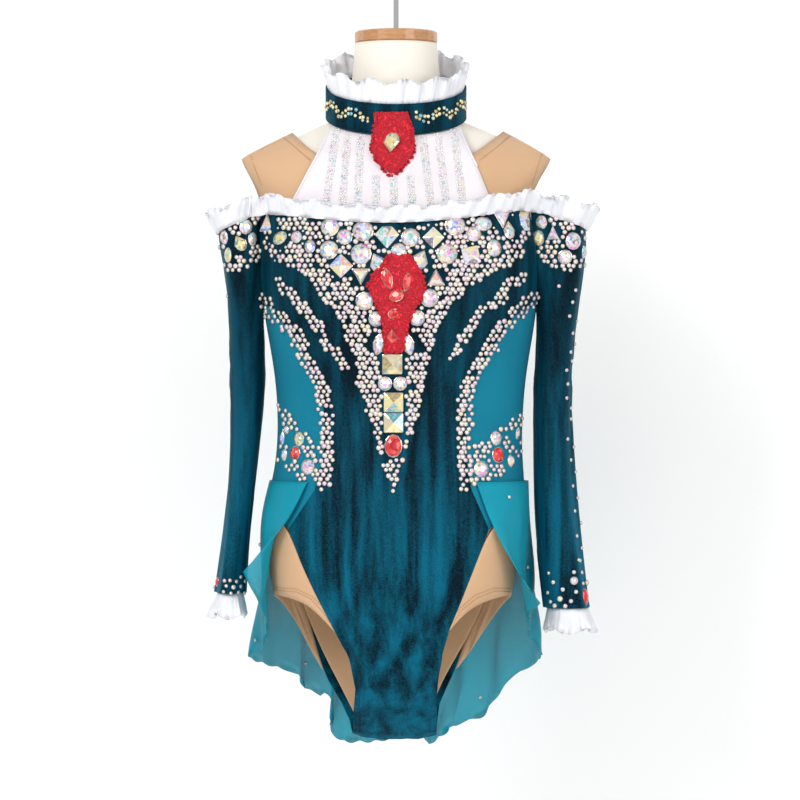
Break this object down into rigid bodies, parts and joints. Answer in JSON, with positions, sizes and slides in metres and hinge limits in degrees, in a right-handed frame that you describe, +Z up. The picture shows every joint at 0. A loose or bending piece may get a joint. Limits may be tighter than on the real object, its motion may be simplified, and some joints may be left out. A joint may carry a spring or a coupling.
{
  "type": "leotard on a hanging dress form",
  "caption": "Long-sleeved off-shoulder stage leotard in velvet with a halter yoke, frills, set stones and a sheer half skirt, on a limbless hanging dress form.",
  "frame": {"origin": "inner top of the hanging hook's bend, where it hangs", "axes": "+Z up, -Y towards the garment's front, +X to the right seen from the front"},
  "size_m": [0.404, 0.243, 0.8187],
  "materials": {
    "teal_velvet": "stretch velvet",
    "turquoise_stretch": "matt stretch jersey",
    "nude_stretch": "matt stretch jersey",
    "white_mesh": "fine mesh with glitter stripes",
    "white_organza": "crisp organza",
    "turquoise_chiffon": "sheer chiffon",
    "red_lace": "corded lace",
    "gold_stone": "faceted, foiled back",
    "red_stone": "faceted, foiled back",
    "form_linen": "plain linen cover",
    "cap_wood": "varnished",
    "hook_chrome": "polished"
  },
  "bodies": {
    "root": {"front_panel": "teal_velvet", "back_panel": "teal_velvet", "sleeve_left": "teal_velvet", "sleeve_right": "teal_velvet", "collar_band": "teal_velvet", "side_panel_left": "turquoise_stretch", "side_panel_right": "turquoise_stretch", "hip_panel_left": "nude_stretch", "hip_panel_right": "nude_stretch", "seat_lining": "nude_stretch", "nude_front": "nude_stretch", "nude_back": "nude_stretch", "yoke": "white_mesh", "neck_frill": "white_organza", "collar_frill": "white_organza", "cuff_frill_left": "white_organza", "cuff_frill_right": "white_organza", "skirt": "turquoise_chiffon", "collar_applique": "red_lace", "chest_applique": "red_lace", "collar_stone": "gold_stone", "gold_square_1": "gold_stone", "gold_square_2": "gold_stone", "gold_square_3": "gold_stone", "gold_round_left": "gold_stone", "gold_round_right": "gold_stone", "red_oval": "red_stone", "form_torso": "form_linen", "form_cap": "cap_wood", "hanging_hook": "hook_chrome"}
  },
  "joints": []
}
